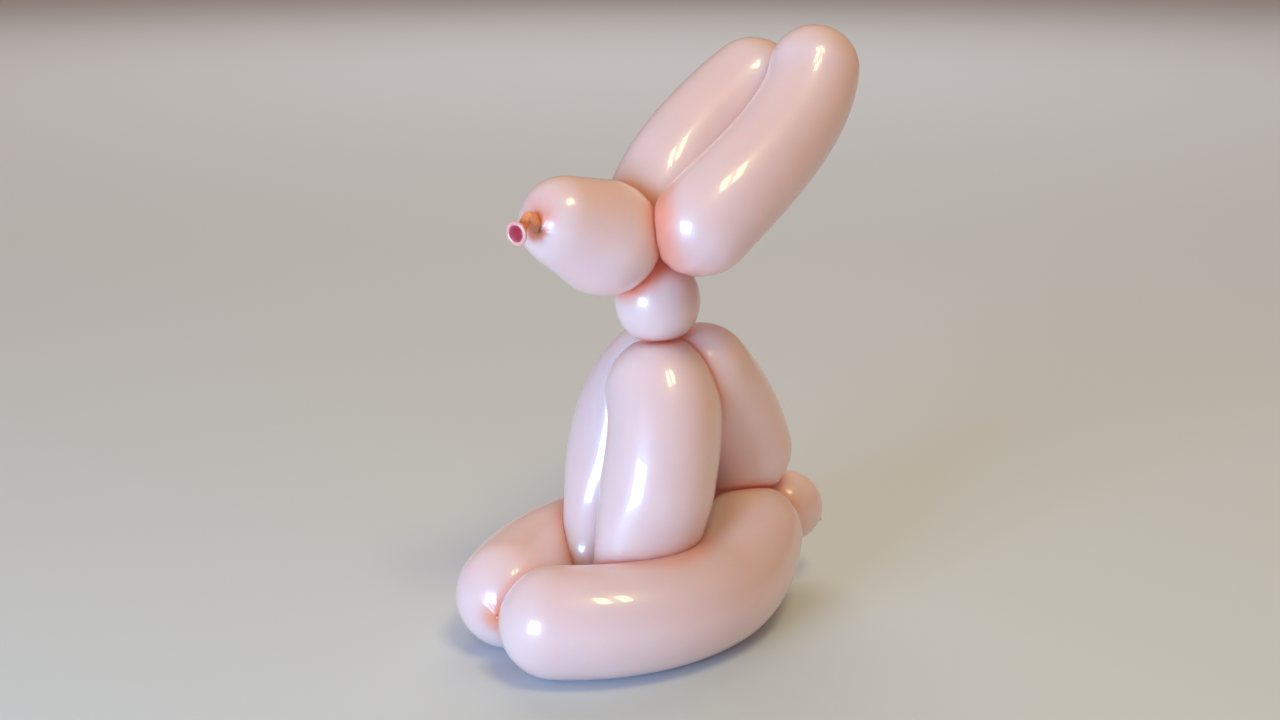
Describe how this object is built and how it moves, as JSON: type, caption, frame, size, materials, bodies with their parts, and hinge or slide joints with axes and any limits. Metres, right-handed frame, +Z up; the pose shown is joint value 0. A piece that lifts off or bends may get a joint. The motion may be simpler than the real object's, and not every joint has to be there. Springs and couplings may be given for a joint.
{
  "type": "balloon rabbit",
  "caption": "Sitting rabbit twisted from one long thin balloon: knotted nose, egg-shaped head, ears laid back, straight front legs held in a ring of hind legs, round tail.",
  "frame": {"origin": "centre of the bounding box, on the table top under the figure", "axes": "+Z up, -Y the way the rabbit faces, +X to the rabbit's left"},
  "size_m": [0.1402, 0.2, 0.2819],
  "materials": {
    "latex": "glossy pearl pink latex, coral where it is less stretched"
  },
  "bodies": {
    "root": {"balloon_rabbit": "latex"}
  },
  "joints": []
}
